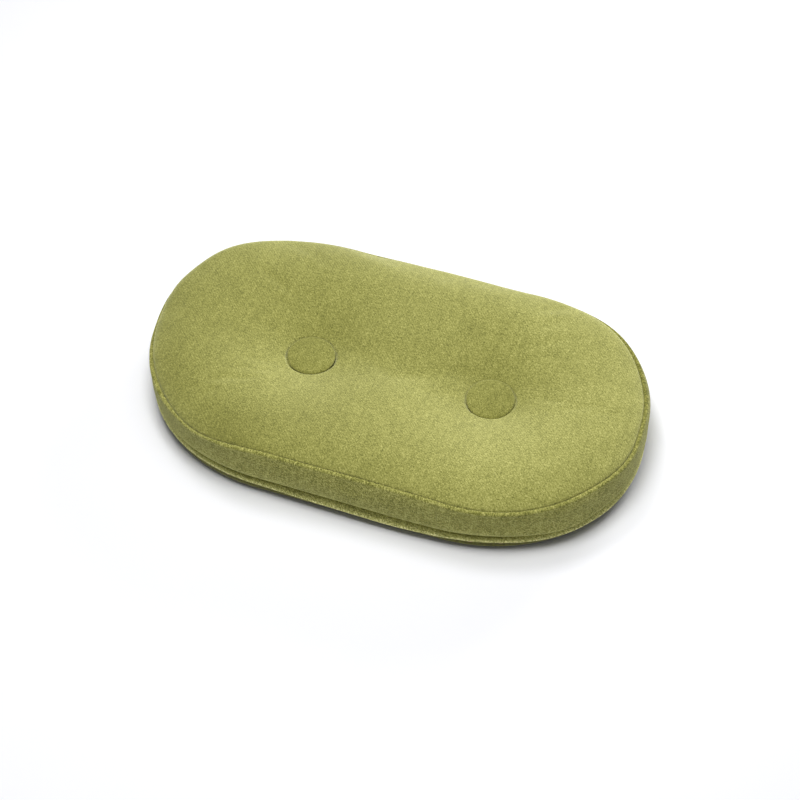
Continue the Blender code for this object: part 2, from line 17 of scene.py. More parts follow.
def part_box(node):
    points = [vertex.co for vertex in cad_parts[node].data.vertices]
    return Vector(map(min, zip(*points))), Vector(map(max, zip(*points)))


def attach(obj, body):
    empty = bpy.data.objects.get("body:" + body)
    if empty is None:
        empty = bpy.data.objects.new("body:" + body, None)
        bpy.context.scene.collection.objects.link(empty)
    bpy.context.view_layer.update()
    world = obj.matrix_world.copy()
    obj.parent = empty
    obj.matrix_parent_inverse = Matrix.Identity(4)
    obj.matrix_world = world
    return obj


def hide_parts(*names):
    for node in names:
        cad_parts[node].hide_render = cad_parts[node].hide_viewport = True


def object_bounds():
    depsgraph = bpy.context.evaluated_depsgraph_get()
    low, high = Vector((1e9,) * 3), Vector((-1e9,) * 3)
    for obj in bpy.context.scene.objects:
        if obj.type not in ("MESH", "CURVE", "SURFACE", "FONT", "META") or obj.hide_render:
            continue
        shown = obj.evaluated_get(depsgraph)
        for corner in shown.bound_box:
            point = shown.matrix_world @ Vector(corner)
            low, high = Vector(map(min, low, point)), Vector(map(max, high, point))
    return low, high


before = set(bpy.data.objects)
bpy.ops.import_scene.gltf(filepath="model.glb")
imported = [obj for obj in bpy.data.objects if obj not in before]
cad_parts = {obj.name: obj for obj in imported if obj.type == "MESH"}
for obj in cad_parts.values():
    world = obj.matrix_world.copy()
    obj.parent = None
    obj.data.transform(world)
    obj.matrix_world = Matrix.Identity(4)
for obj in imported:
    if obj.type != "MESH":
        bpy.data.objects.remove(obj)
cad_low, cad_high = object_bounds()
bpy.context.scene.view_settings.view_transform = "Standard"

# ---------------------------------------------------------------- places, from the CAD model

MM = 0.001
band_low, band_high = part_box("side_band")
wrap_low, wrap_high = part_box("base_wrap")
dust_low, dust_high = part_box("dust_cover")
HALF_WIDTH = band_high.y
# Half the straight length of each long side, and the long way of each rounded end.
STRAIGHT_HALF = 78 * MM
END_REACH = band_high.x - STRAIGHT_HALF
BAND_BOTTOM = band_low.z
SEAM_HEIGHT = band_high.z
# The band's lower turn, the seam's even line inside the widest one, the margin turned under the
# pad, and the cloth's thickness.
BAND_ROUND = 6 * MM
SEAM_INSET = 3.2 * MM
MARGIN = 26 * MM
CLOTH = 1.4 * MM
# Points closer than this are the same point.
WELD = 0.01 * MM


def middle(node):
    """The middle of a CAD node's box."""
    low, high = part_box(node)
    return (low + high) / 2


TUFTS = {side: middle(f"button_cover_{side}") for side in ("left", "right")}
BUTTON_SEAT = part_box("button_cover_left")[0].z

# ---------------------------------------------------------------- the pad's plan


def plan_columns(end_count, side_count):
    """Columns round the pad, anticlockwise from the right end's front, and where each one lies."""
    end = math.pi * (np.arange(end_count) / end_count - 0.5)
    along = 1 - 2 * np.arange(side_count) / side_count
    flat = np.zeros(side_count)
    centre = np.concatenate([np.ones(end_count), along, -np.ones(end_count), -along])
    across = np.concatenate([np.cos(end), flat, -np.cos(end), flat])
    up = np.concatenate([np.sin(end), flat + 1, -np.sin(end), flat - 1])
    left, right = (np.array(TUFTS[side][:2]) for side in ("left", "right"))
    share = (centre[:, None] + 1) / 2
    spine = left * (1 - share) + right * share
    cols = {"centre": centre * STRAIGHT_HALF, "across": across, "up": up, "spine": spine}
    return add_drift(cols)


def at_inset(cols, inset):
    """Plan points of every column, this far inside the pad's widest line."""
    x = cols["centre"] + (END_REACH - inset) * cols["across"]
    y = (HALF_WIDTH - inset) * cols["up"]
    return np.stack([x, y], -1)


def outward(cols):
    """Unit direction out of the pad's edge at each column."""
    direction = np.stack([cols["across"] * HALF_WIDTH, cols["up"] * END_REACH], -1)
    return direction / np.linalg.norm(direction, axis=-1, keepdims=True)


def edge_distance(x, y):
    """How far inside the pad's widest line these places lie."""
    past = np.maximum(np.abs(x) - STRAIGHT_HALF, 0)
    share = np.hypot(past / END_REACH, y / HALF_WIDTH)
    reach = np.hypot(past, y) * (1 / np.maximum(share, 1e-6) - 1)
    return np.where(share < 1e-6, HALF_WIDTH, reach)


# ---------------------------------------------------------------- heights of the cushion

# At a button the cloth starts to drop this far outside the rim (behind it, in front of it), and
# reaches the floor under the button over this run. The front faces this far round from -Y.
BUTTON_RADIUS = 20 * MM
TUCK_START = (1.0 * MM, 2.6 * MM)
TUCK_RUN = 3.2 * MM
TUCK_FLOOR = BUTTON_SEAT - 0.3 * MM
FRONT = math.radians(20)
# The wide dimple round each button, and how high the cloth lies at its rim (left, right).
DIMPLE_REACH = 148 * MM
DIMPLE_POWER = 3.17
DIMPLE_RIMS = (43.6 * MM, 41.7 * MM)
# The rise from the seam to the crest, over this run.
CREST = 7.9 * MM
CREST_RUN = 87 * MM
CREST_POWER = 4.16
# The trench along the line through both buttons, and how near the edge it fades out.
TRENCH_DEPTH = 6 * MM
TRENCH_WIDTH = 16.3 * MM
TRENCH_FADE = 120 * MM
TRENCH_EDGE = 40 * MM
# How far in from the seam the panel rolls over, and how far in the seam's drift lifts it.
ROLL_RUN = 8 * MM
SEAM_PULL = 45 * MM


def tuft_distances(x, y):
    """How far these places lie from the left button and from the right one."""
    return [np.hypot(x - spot.x, y - spot.y) for spot in TUFTS.values()]


def tuck_starts(x, y):
    """How far out from each button the cloth starts to drop: further out at the front."""
    starts = []
    for spot, away in zip(TUFTS.values(), tuft_distances(x, y)):
        ahead = (x - spot.x) * math.sin(FRONT) - (y - spot.y) * math.cos(FRONT)
        front = np.clip(0.5 + ahead / np.maximum(away, 1 * MM), 0, 1)
        starts.append(TUCK_START[0] + (TUCK_START[1] - TUCK_START[0]) * front)
    return starts


def trench(x, y, edge):
    """How far the cloth sinks along the line through both buttons."""
    left, right = TUFTS["left"], TUFTS["right"]
    share = (x - left.x) / (right.x - left.x)
    off_line = y - left.y - share * (right.y - left.y)
    past = np.maximum(np.abs(share - 0.5) - 0.5, 0) * (right.x - left.x)
    fade = np.clip(1 - past / TRENCH_FADE, 0, 1) ** 2 * np.clip(edge / TRENCH_EDGE, 0, 1)
    return TRENCH_DEPTH * np.exp(-((off_line / TRENCH_WIDTH) ** 2) / 2) * fade


def crown(x, y, seam_inset, seam_up, roll):
    """Height of the top panel's outer face, pulled down round both buttons."""
    inside = np.maximum(edge_distance(x, y) - seam_inset, 0)
    share = np.clip(inside / CREST_RUN, 0, 1)
    height = SEAM_HEIGHT + CREST * (1 - (1 - share) ** CREST_POWER)
    height = height + seam_up * np.clip(1 - inside / SEAM_PULL, 0, 1) ** 2
    shoulder = np.clip(1 - inside / ROLL_RUN, 0, 1)
    height = height - roll * (1 - np.sqrt(1 - shoulder**2)) - trench(x, y, inside)
    for away, rim, start in zip(tuft_distances(x, y), DIMPLE_RIMS, tuck_starts(x, y)):
        slope = np.clip((away - BUTTON_RADIUS) / (DIMPLE_REACH - BUTTON_RADIUS), 0, 1)
        height = height + (rim - height) * (1 - slope) ** DIMPLE_POWER
        tuck = np.clip((BUTTON_RADIUS + start - away) / TUCK_RUN, 0, 1)
        height = height + (TUCK_FLOOR - height) * (3 * tuck**2 - 2 * tuck**3)
    return height


# Where the stuffing and the buttons draw the seam off its even line: a place on the edge, how
# far along the edge it reaches, and how far out, up and rolled over it goes, in millimetres.
SEAM_DRIFT = [
    ((-0.170, -0.088), 0.030, 0.9, -4.6, 0.0),
    ((-0.130, -0.113), 0.025, 2.6, -3.8, 0.0),
    ((-0.080, -0.124), 0.025, 0.0, 1.5, 0.0),
    ((0.000, -0.125), 0.050, -1.0, 0.0, 0.0),
    ((0.125, -0.116), 0.028, 0.5, -2.2, 0.0),
    ((0.165, -0.092), 0.025, 0.8, -1.2, 0.0),
    ((0.205, -0.032), 0.022, 0.8, -1.5, 0.5),
    ((0.211, 0.005), 0.018, -2.0, 0.0, 0.5),
    ((0.200, 0.050), 0.022, -1.5, 0.0, 0.3),
    ((0.155, 0.098), 0.026, 0.2, 3.4, 1.2),
    ((0.070, 0.125), 0.050, -1.0, -1.0, 6.0),
    ((0.000, 0.125), 0.028, 0.0, 0.0, 2.2),
    ((-0.075, 0.125), 0.045, -2.5, -1.5, 6.0),
    ((-0.182, 0.077), 0.030, 4.2, 5.0, 6.0),
    ((-0.205, 0.028), 0.016, 2.2, 1.5, 5.0),
    ((-0.206, -0.022), 0.025, 0.3, -2.0, 4.6),
]


# How the band hangs over the base: a place on the edge, how far along the edge it reaches, how
# far the band stands out and hangs lower, and the strip's lip below it stands out and lower.
FOOT_DRIFT = [
    ((-0.205, -0.035), 0.025, -1.0, 0.0, 0.0, 0.0),
    ((-0.210, -0.005), 0.020, -1.6, 0.0, 0.0, 0.0),
    ((-0.185, -0.070), 0.022, -1.2, 0.0, 0.0, 0.0),
    ((-0.095, -0.123), 0.035, -1.2, -1.5, -0.9, -0.6),
    ((-0.020, -0.125), 0.035, -0.6, -0.8, 0.5, 0.9),
    ((0.040, -0.125), 0.030, 0.0, 0.0, 1.2, 1.6),
    ((0.110, -0.121), 0.025, -1.0, -2.2, -1.0, -0.8),
    ((0.172, -0.086), 0.020, 1.2, 3.0, 0.8, 1.0),
    ((0.198, -0.050), 0.020, 0.0, 0.5, 0.8, 1.0),
    ((0.210, 0.010), 0.025, -1.8, 0.0, 0.0, 0.0),
]


def nearness(x, y, place, reach):
    """A smooth bump of height one round a place."""
    away = (x - place[0]) ** 2 + (y - place[1]) ** 2
    return np.exp(-away / (2 * reach**2))


def drift(flat, table):
    """The sum of a table's moves at each of these plan points, one row for each kind of move."""
    moved = 0
    for place, reach, *moves in table:
        moved = moved + np.outer(moves, nearness(*flat.T, place, reach)) * MM
    return moved


def add_drift(cols):
    """How the seam, the band's foot and the strip's lip stray from their even lines."""
    flat = at_inset(cols, 0)
    out, cols["seam_up"], cols["roll"] = drift(flat, SEAM_DRIFT)
    cols["seam_inset"] = SEAM_INSET - out
    cols["wide"], cols["hang"], cols["lip_out"], cols["lip_drop"] = drift(flat, FOOT_DRIFT)
    return cols


# Rows of the cover: 0 is the margin's edge under the band, then the band's lower turn and face,
# the seam, and the line through both buttons. SHOULDER says how late the face leans in.
ROW_TURN = 4
ROW_FACE = 7
ROW_SEAM = 15
ROW_SPINE = 44
SHOULDER = 10


def cover_surface(cols, rows):
    """Points of the smooth cover, before it is stuffed, at any rows and columns."""
    rows = np.asarray(rows, float)
    margin = np.clip(rows / ROW_TURN, 0, 1)
    turn = np.clip((rows - ROW_TURN) / (ROW_FACE - ROW_TURN), 0, 1) * math.pi / 2
    face = np.clip((rows - ROW_FACE) / (ROW_SEAM - ROW_FACE), 0, 1)
    over = np.clip((rows - ROW_SEAM) / (ROW_SPINE - ROW_SEAM), 0, 1)
    inset = MARGIN * (1 - margin) + BAND_ROUND * (1 - np.sin(turn))
    lean = face[:, None] ** SHOULDER
    bulge = np.sin(turn)[:, None]
    inset = inset[:, None] + cols["seam_inset"] * lean - cols["wide"] * bulge * (1 - lean)
    top = SEAM_HEIGHT + cols["seam_up"] - cols["roll"]
    hang = cols["hang"] * bulge**2
    turned = BAND_BOTTOM + BAND_ROUND * (1 - np.cos(turn[:, None])) - hang
    height = turned + (top - BAND_BOTTOM - BAND_ROUND + hang) * face[:, None]
    x = cols["centre"] + (END_REACH - inset) * cols["across"]
    y = (HALF_WIDTH - inset) * cols["up"]
    x = x + (cols["spine"][:, 0] - x) * over[:, None]
    y = y + (cols["spine"][:, 1] - y) * over[:, None]
    panel = crown(x, y, cols["seam_inset"], cols["seam_up"], cols["roll"])
    up = np.where(over[:, None] > 0, panel, height)
    return np.stack([x, y, up], -1)


# The base strip in section, (inset, height) in millimetres, with how far each point follows the
# lip and its painted light: painted shade in the groove under the band, a painted highlight on the
# lip and painted shade in the recess under it. From above the board, out to the lip and back under
# the board.
STRIP_SECTION = [
    (29.0, 16.9, 0.0, 0.6),
    (7.4, 16.9, 0.0, 0.6),
    (5.8, 16.3, 0.0, 0.65),
    (4.8, 15.1, 0.1, 0.75),
    (4.0, 13.6, 0.3, 1.0),
    (3.4, 12.2, 0.6, 1.4),
    (3.0, 11.2, 0.9, 1.8),
    (2.8, 10.5, 1.0, 2.1),
    (2.85, 9.9, 1.0, 2.0),
    (3.2, 9.4, 1.0, 0.9),
    (3.9, 9.1, 1.0, 0.3),
    (4.4, 8.4, 0.8, 0.25),
    (4.5, 7.2, 0.4, 0.25),
    (4.55, 5.6, 0.1, 0.25),
    (5.2, 4.2, 0.0, 0.25),
    (7.0, 3.3, 0.0, 0.3),
    (29.0, 3.3, 0.0, 0.3),
]


def strip_rows(cols):
    """Rows of points round the outside of the base strip."""
    rows = []
    for inset, height, follow, _ in STRIP_SECTION:
        place = at_inset(cols, inset * MM - follow * cols["lip_out"])
        lift = height * MM - follow * cols["lip_drop"]
        rows.append(np.column_stack([place, lift]))
    return np.stack(rows)


# ---------------------------------------------------------------- meshes from grids of points


def add_object(name, data):
    """Put a mesh, a lamp or a camera into the scene as an object."""
    made = bpy.data.objects.new(name, data)
    bpy.context.scene.collection.objects.link(made)
    return made


def mesh_from(name, points, faces, weave=None, painted_light=None):
    """A mesh with a map of places in the cloth, in metres, and the painted light and shade on it.
    """
    mesh = bpy.data.meshes.new(name)
    mesh.from_pydata([tuple(point) for point in points], [], faces)
    mesh.update()
    mesh.shade_smooth()
    if weave is not None:
        layer = mesh.uv_layers.new(name="weave")
        corners = np.zeros(len(mesh.loops), int)
        mesh.loops.foreach_get("vertex_index", corners)
        layer.data.foreach_set("uv", np.asarray(weave, np.float32)[corners].ravel())
    if painted_light is not None:
        layer = mesh.attributes.new("painted_light", "FLOAT", "POINT")
        layer.data.foreach_set("value", np.asarray(painted_light, np.float32))
    return mesh


def ring_faces(rows, columns, closed=False):
    """Quads between neighbouring rows of a grid whose columns run right round."""
    faces = []
    for row in range(rows if closed else rows - 1):
        low, high = row * columns, (row + 1) % rows * columns
        for i in range(columns):
            j = (i + 1) % columns
            faces.append((low + i, low + j, high + j, high + i))
    return faces


def weld(mesh, distance):
    """Join points that lie this close, drop what collapses, and turn all faces outwards."""
    work = bmesh.new()
    work.from_mesh(mesh)
    bmesh.ops.remove_doubles(work, verts=work.verts, dist=distance)
    bmesh.ops.dissolve_degenerate(work, dist=distance / 10, edges=work.edges)
    bmesh.ops.recalc_face_normals(work, faces=work.faces)
    work.to_mesh(mesh)
    work.free()
    mesh.update()


# ---------------------------------------------------------------- stuffing the cover

# Columns round each end and along each side of the simulated cloth, and how many finer columns
# the finished meshes have for each of them.
SIM_END, SIM_SIDE = 92, 35
FINE = 3
SIM_FRAMES = 20
PRESSURE = 4.0
# How firmly the seam is held, how far outside a button's rim the cloth is held fast, and the
# furthest the stuffing may move any point.
SEAM_HOLD = 0.25
BUTTON_GRIP = 1.5 * MM
SWELL_CAP = 6 * MM


def welded(points, faces):
    """The points with coincident ones joined, their faces, and where each old point went."""
    keys = np.round(points / WELD).astype(int)
    _, first, index = np.unique(keys, axis=0, return_index=True, return_inverse=True)
    index = index.reshape(-1)
    kept = []
    for face in faces:
        corners = list(dict.fromkeys(int(index[corner]) for corner in face))
        if len(corners) > 2:
            kept.append(tuple(corners))
    return points[first], kept, index


def simulate(cols):
    """How far each point of the cover moves when it is stuffed, as a grid of offsets."""
    rows = np.arange(ROW_SPINE + 1)
    rest = cover_surface(cols, rows)
    count = rest.shape[1]
    grid = rest.reshape(-1, 3)
    faces = ring_faces(len(rows), count)
    faces.append(tuple(range(count - 1, -1, -1)))
    points, faces, index = welded(grid, faces)
    made = add_object("stuffing", mesh_from("stuffing", points, faces))
    row_of = np.repeat(rows, count)
    away = np.minimum(*tuft_distances(grid[:, 0], grid[:, 1]))
    at_button = (away < BUTTON_RADIUS + BUTTON_GRIP) & (row_of > ROW_SEAM)
    held = at_button | (row_of <= ROW_TURN)
    pins = made.vertex_groups.new(name="pins")
    pins.add([int(i) for i in index[row_of == ROW_SEAM]], SEAM_HOLD, "REPLACE")
    pins.add([int(i) for i in index[held]], 1.0, "REPLACE")
    cloth = made.modifiers.new("cloth", "CLOTH")
    set_up = cloth.settings
    set_up.quality = 6
    set_up.mass = 0.15
    set_up.tension_stiffness = set_up.compression_stiffness = 25
    set_up.shear_stiffness = 12
    set_up.bending_stiffness = 1.5
    set_up.tension_damping = set_up.compression_damping = 15
    set_up.air_damping = 4
    set_up.use_pressure = True
    set_up.uniform_pressure_force = PRESSURE
    set_up.effector_weights.gravity = 0
    set_up.vertex_group_mass = "pins"
    set_up.pin_stiffness = 1
    cloth.collision_settings.use_collision = False
    cloth.point_cache.frame_start = 1
    cloth.point_cache.frame_end = SIM_FRAMES
    scene = bpy.context.scene
    for step in range(1, SIM_FRAMES + 1):
        scene.frame_set(step)
    shaped = made.evaluated_get(bpy.context.evaluated_depsgraph_get()).to_mesh()
    moved = np.zeros(len(points) * 3)
    shaped.vertices.foreach_get("co", moved)
    offset = (moved.reshape(-1, 3) - points)[index]
    scene.frame_set(1)
    bpy.data.objects.remove(made)
    length = np.linalg.norm(offset, axis=1, keepdims=True)
    offset *= np.minimum(1, SWELL_CAP / np.maximum(length, 1e-9))
    return offset.reshape(rest.shape)


def spline_weights(places, count, round_trip):
    """Cubic B-spline weights that read a row of `count` samples at these places."""
    base = np.floor(places).astype(int)
    t = places - base
    weights = np.zeros((len(places), count))
    parts = [
        (1 - t) ** 3 / 6,
        (3 * t**3 - 6 * t**2 + 4) / 6,
        (-3 * t**3 + 3 * t**2 + 3 * t + 1) / 6,
        t**3 / 6,
    ]
    for k, part in enumerate(parts):
        index = base + k - 1
        index = index % count if round_trip else np.clip(index, 0, count - 1)
        np.add.at(weights, (np.arange(len(places)), index), part)
    return weights


def spread_offset(offset, rows, column_places):
    """The simulated offsets, read smoothly at finer rows and columns."""
    down = spline_weights(np.asarray(rows, float), offset.shape[0], False)
    round_ = spline_weights(np.asarray(column_places, float), offset.shape[1], True)
    return np.einsum("rj,jkc,nk->rnc", down, offset, round_)


fine_cols = plan_columns(SIM_END * FINE, SIM_SIDE * FINE)
fine_places = np.arange((SIM_END + SIM_SIDE) * 2 * FINE) / FINE
coarse_cols = plan_columns(SIM_END, SIM_SIDE)
swell = simulate(coarse_cols)


def stuffed(rows):
    """Points of the stuffed cover at fine columns."""
    base = cover_surface(fine_cols, rows)
    return base + spread_offset(swell, rows, fine_places)


# ---------------------------------------------------------------- materials

# Width of the cloth's twill rows, one way and the other.
WARP_PITCH = 2.7 * MM
WEFT_PITCH = 2.85 * MM


class Nodes:
    """A short way to write a material's node tree."""

    def __init__(self, name):
        self.material = bpy.data.materials.new(name)
        self.material.use_nodes = True
        self.tree = self.material.node_tree
        self.shader = self.tree.nodes["Principled BSDF"]

    def add(self, kind, inputs=None, **settings):
        node = self.tree.nodes.new(f"ShaderNode{kind}")
        for key, value in settings.items():
            setattr(node, key, value)
        for key, value in (inputs or {}).items():
            self.link(value, node.inputs[key])
        return node

    def link(self, value, socket):
        if isinstance(value, bpy.types.NodeSocket):
            self.tree.links.new(value, socket)
        else:
            socket.default_value = value

    def math(self, operation, *values, clamp=False):
        node = self.add("Math", operation=operation, use_clamp=clamp)
        for socket, value in zip(node.inputs, values):
            self.link(value, socket)
        return node.outputs[0]

    def noise(self, vector, scale, detail=2.0, rough=0.5, distortion=0.0):
        inputs = {"Vector": vector, "Scale": scale, "Detail": detail}
        inputs |= {"Roughness": rough, "Distortion": distortion}
        return self.add("TexNoise", inputs).outputs["Fac"]

    def stretch(self, vector, scale, turn=0.0, shift=(0, 0, 0)):
        inputs = {"Vector": vector, "Scale": scale, "Rotation": (0, 0, turn), "Location": shift}
        return self.add("Mapping", inputs).outputs["Vector"]

    def ramp(self, factor, stops):
        node = self.add("ValToRGB", {"Fac": factor})
        ramp = node.color_ramp
        while len(ramp.elements) < len(stops):
            ramp.elements.new(1)
        for element, (place, colour) in zip(ramp.elements, stops):
            element.position = place
            element.color = (*colour, 1)
        return node.outputs["Color"]

    def mix(self, factor, first, second, blend="MIX"):
        node = self.add("Mix", data_type="RGBA", blend_type=blend)
        self.link(factor, node.inputs["Factor"])
        self.link(first, node.inputs["A"])
        self.link(second, node.inputs["B"])
        return node.outputs["Result"]

    def finish(self, **values):
        for key, value in values.items():
            self.link(value, self.shader.inputs[key.replace("_", " ")])
        return self.material


# The cloth's colour from the shade between the threads to the lightest tips of the pile.
VELOUR_SHADES = [
    (0.0, (0.106, 0.109, 0.017)),
    (0.5, (0.269, 0.268, 0.057)),
    (0.8, (0.398, 0.389, 0.108)),
    (1.0, (0.53, 0.51, 0.17)),
]


def velour(name, turn=0.0, shift=(0, 0, 0), tone=1.0, contrast=1.0, sheen=0.6):
    """Short-cut upholstery velour: twill and weft rows under grain, flecks and combed streaks,
    times painted light.
    """
    made = Nodes(name)
    place = made.add("UVMap", uv_map="weave").outputs["UV"]
    place = made.stretch(place, (1, 1, 1), turn, shift)
    split = made.add("SeparateXYZ", {"Vector": place})
    across, along = split.outputs["X"], split.outputs["Y"]
    wobble = made.noise(place, 240, 2)
    waver = made.math("MULTIPLY", wobble, 4.0)
    weft = made.math("SINE", made.math("MULTIPLY_ADD", along, math.tau / WEFT_PITCH, waver))
    slant = made.math("MULTIPLY_ADD", across, math.tau / WARP_PITCH, waver)
    twill = made.math("SINE", made.math("MULTIPLY_ADD", along, math.tau / WEFT_PITCH, slant))
    grain = made.noise(place, 1250, 3, 0.8)
    fleck = made.noise(place, 560, 2, 0.6)
    clump = made.noise(place, 240, 2, 0.6)
    streak = made.noise(made.stretch(place, (230, 42, 100)), 1, 3, 0.6, 0.4)
    cloud = made.noise(place, 60, 2, 0.5)
    value = made.math("MULTIPLY", weft, 0.020 * contrast)
    value = made.math("MULTIPLY_ADD", twill, 0.035 * contrast, value)
    layers = [(grain, 2.4), (fleck, 1.0), (clump, 0.42), (streak, 0.30), (cloud, 0.20)]
    for layer, weight in layers:
        level = made.math("SUBTRACT", layer, 0.5)
        value = made.math("MULTIPLY_ADD", level, weight * contrast, value)
    value = made.math("ADD", value, 0.5)
    stops = [(at, [part * tone for part in shade]) for at, shade in VELOUR_SHADES]
    colour = made.ramp(value, stops)
    # Painted light and shade: each mesh carries how much lighter or darker its cloth is painted,
    # blue changing faster, and the colour is multiplied by it.
    painted_light = made.add("Attribute", attribute_name="painted_light").outputs["Fac"]
    parts = {"Red": painted_light, "Green": painted_light, "Blue": made.math("POWER", painted_light, 1.6)}
    painted_shading = made.add("CombineColor", parts).outputs["Color"]
    colour = made.mix(1.0, colour, painted_shading, "MULTIPLY")
    height = made.math("MULTIPLY_ADD", twill, 0.3, made.math("MULTIPLY", grain, 1.6))
    bump = made.add("Bump", {"Height": height, "Strength": 0.45, "Distance": 0.35 * MM})
    rough = made.math("MULTIPLY_ADD", streak, 0.12, 0.82)
    return made.finish(
        Base_Color=colour,
        Roughness=rough,
        Normal=bump.outputs["Normal"],
        Sheen_Weight=sheen,
        Sheen_Roughness=0.6,
        Sheen_Tint=(1.0, 1.0, 0.55, 1),
        Specular_IOR_Level=0.15,
    )


# Painted light and shade on the top panel, standing in for how its slopes and the lamps' falloff
# light the cloth: a place, its reach and how much lighter or darker.
PANEL_PAINTED_LIGHT = [
    ((0.11, -0.05), 0.050, 0.17),
    ((-0.19, 0.00), 0.070, -0.15),
    ((-0.10, -0.12), 0.026, -0.28),
    ((-0.09, -0.03), 0.026, 0.15),
    ((-0.09, 0.12), 0.026, -0.20),
    ((0.10, 0.07), 0.018, 0.10),
    ((0.09, 0.01), 0.018, -0.14),
    ((-0.04, -0.07), 0.018, -0.10),
    ((-0.18, -0.09), 0.026, -0.14),
    ((-0.06, 0.02), 0.018, -0.10),
    ((0.02, -0.03), 0.026, 0.07),
    ((0.05, 0.02), 0.018, -0.08),
    ((0.17, 0.02), 0.030, 0.14),
    ((0.125, 0.07), 0.026, 0.08),
    ((0.105, -0.095), 0.022, 0.06),
]

# Painted shade on the band at the right end, in the same columns.
BAND_PAINTED_SHADE = [
    ((0.190, 0.068), 0.035, -0.24),
    ((0.210, 0.000), 0.030, -0.10),
]


def painted_patches(points, patches):
    """How much light is painted on at each of these points, with these patches of painted light
    and shade.
    """
    painted_light = np.ones(points.shape[:-1])
    for place, reach, strength in patches:
        painted_light += strength * nearness(points[..., 0], points[..., 1], place, reach)
    return painted_light


# ---------------------------------------------------------------- the sewn cover


def seam_noise(scale, seed):
    """A smooth repeating wander round the pad, one value per fine column."""
    draw = np.random.default_rng(seed)
    size = 1 / math.sqrt(scale)
    total = np.zeros(len(angle))
    for harmonic in range(1, scale + 1):
        total += size * draw.normal() * np.sin(harmonic * angle + draw.uniform(0, math.tau))
    return total


# Stitches round the seam, and how much each one puckers the cloth.
STITCHES = 290
angle = math.tau * np.arange(len(fine_places)) / len(fine_places)
stitch = 0.5 + 0.5 * np.cos(STITCHES * angle + 1.5 * seam_noise(30, 4))
pucker = stitch * (0.7 + 0.3 * seam_noise(60, 5))

edge = np.concatenate([outward(fine_cols), np.zeros((len(fine_places), 1))], 1)
seam_line = stuffed([ROW_SEAM])[0]
around = np.concatenate([[0], np.cumsum(np.linalg.norm(np.diff(seam_line, axis=0), axis=1))])

# The seam in section, as (out, up) from the cover's smooth edge: the groove in metres and the
# ridge outside it in millimetres.
VALLEY = (-1.35 * MM, -0.55 * MM)
RIDGE = [
    (-1.20, -0.50),
    (-0.95, 0.05),
    (-0.50, 0.45),
    (0.10, 0.62),
    (0.80, 0.62),
    (1.40, 0.42),
    (1.90, 0.08),
    (2.25, -0.40),
    (2.45, -1.00),
    (2.55, -1.60),
]
# How far the band's face stands out below the ridge, and over how many rows.
FACE_OUT = 0.75 * MM
FACE_FADE = 4.6

# Painted light on the seam's rolled ridge, and painted light and shade down the band by row:
# painted shade where the band turns under and below the ridge, a painted highlight on its lower
# turn.
RIDGE_PAINTED_LIGHT = 0.96
BAND_PAINTED_LIGHT = [
    (4.0, 0.8),
    (4.8, 1.1),
    (5.6, 1.25),
    (6.6, 1.12),
    (8.0, 1.0),
    (12.5, 0.93),
    (14.5, 1.02),
]


def from_seam(out, up):
    """A row of points beside the seam line."""
    out, up = np.broadcast_to(out, angle.shape), np.broadcast_to(up, angle.shape)
    lift = np.array([0, 0, 1.0])
    return seam_line + edge * out[:, None] + lift * up[:, None]


# Where the panel rolls over the seam, the ridge is small and the groove shallow.
hidden = np.clip(fine_cols["roll"] / (4 * MM), 0, 1)
ridge_size = 1 - 0.85 * hidden
sunk = 1 - 0.8 * hidden
ridge_out = ridge_size * np.clip((fine_cols["seam_inset"] + 0.8 * MM) / (2.6 * MM), 0.6, 1.1)


def round_weave(loop):
    """Places in cloth that runs round the pad: along the seam, and down over the mean section."""
    steps = np.linalg.norm(np.diff(loop, axis=0), axis=2).mean(1)
    down = np.concatenate([[0], np.cumsum(steps)])
    u = np.broadcast_to(around, loop.shape[:2])
    v = np.broadcast_to(-down[:, None], loop.shape[:2])
    return np.stack([u, v], -1).reshape(-1, 2)


def make_band():
    """The side band: seam allowance, rolled top edge, face and the margin under the pad."""
    rolled = [from_seam(-2.2 * MM, -6 * MM), from_seam(-2.2 * MM, -2.5 * MM)]
    depth = (VALLEY[1] - 0.25 * MM * pucker) * sunk
    rolled.append(from_seam(VALLEY[0], depth))
    for out, up in RIDGE:
        lift = up - 0.16 * pucker * max(0.0, 0.9 - abs(out))
        span = ridge_out if out > 0 else ridge_size
        rolled.append(from_seam(out * MM * span, lift * MM * ridge_size))
    face_rows = np.concatenate(
        [
            np.linspace(ROW_SEAM - 1.1, ROW_FACE, 20),
            np.linspace(ROW_FACE, ROW_TURN, 9)[1:],
            np.linspace(ROW_TURN, 0, 6)[1:],
        ]
    )
    face = stuffed(face_rows)
    fade = np.clip((face_rows - ROW_SEAM + 5) / FACE_FADE, 0, 1)[:, None, None]
    face += edge * (FACE_OUT * fade)
    outer = np.concatenate([np.stack(rolled), face])
    inner_rows = np.array([0, 2, ROW_TURN, 5.5, ROW_FACE, 9, 11, 13, 14])
    inner = stuffed(inner_rows)
    turned = np.clip((inner_rows - ROW_TURN) / (ROW_FACE - ROW_TURN), 0, 1)
    inner[..., 2] += CLOTH * np.cos(turned * math.pi / 2)[:, None]
    inner -= edge * (CLOTH * np.sin(turned * math.pi / 2))[:, None, None]
    tip = [from_seam(-3.4 * MM, -4 * MM), from_seam(-3.6 * MM, -6 * MM)]
    loop = np.concatenate([outer, inner, np.stack(tip)])
    # Painted light and shade on the ridge and down the band, times the painted shade at the right
    # end.
    painted_shading = np.interp(face_rows, *zip(*BAND_PAINTED_LIGHT))
    inside = np.ones(len(loop) - len(rolled) - len(painted_shading))
    painted_light = np.concatenate([np.full(len(rolled), RIDGE_PAINTED_LIGHT), painted_shading, inside])
    mesh = mesh_from(
        "side_band",
        loop.reshape(-1, 3),
        ring_faces(len(loop), loop.shape[1], closed=True),
        round_weave(loop),
        (painted_light[:, None] * painted_patches(loop, BAND_PAINTED_SHADE)).ravel(),
    )
    weld(mesh, WELD)
    return mesh


